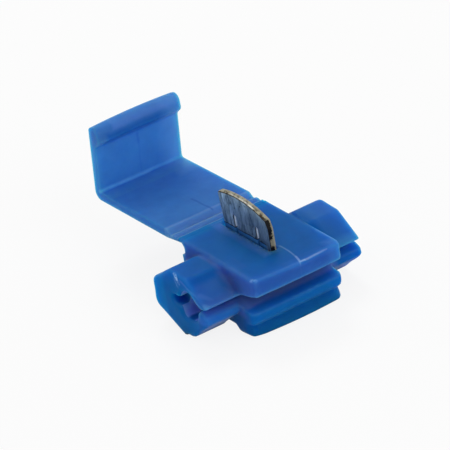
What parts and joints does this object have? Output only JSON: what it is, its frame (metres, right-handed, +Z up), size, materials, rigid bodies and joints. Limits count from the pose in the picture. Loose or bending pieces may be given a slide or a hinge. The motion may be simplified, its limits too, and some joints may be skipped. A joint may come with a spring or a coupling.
{
  "type": "insulation displacement tap splice connector",
  "caption": "Moulded tap splice: a block with a side-entry run channel and a blind tap channel, a hinged snap lid, and a slotted blade contact pressed through the wires.",
  "frame": {"origin": "on the axis of the run-wire channel, in the middle plane of the contact", "axes": "+Y along the wires towards the end where the tap wire enters, +X from the hinge to the open mouth, +Z up out of the block's top face"},
  "size_m": [0.0363, 0.023, 0.018],
  "materials": {
    "moulding": "blue translucent polypropylene, satin as moulded",
    "contact_metal": "tin plated, sheared bare edge along the top"
  },
  "bodies": {
    "housing": {"housing": "moulding"},
    "lid": {"lid": "moulding"},
    "contact": {"contact": "contact_metal"}
  },
  "joints": [
    {"name": "lid_hinge", "type": "hinge", "parent": "housing", "child": "lid", "pos_m": [-0.0094, 0, 0.00411], "axis": [0, 1, 0], "range_deg": [0, 181.3]},
    {"name": "contact_press", "type": "slide", "parent": "housing", "child": "contact", "axis": [0, 0, -1], "range_m": [0, 0.005]}
  ],
  "couplings": [
    {"joint": "contact_press", "follows": "lid_hinge", "m_per_rad": 0.0015801}
  ]
}
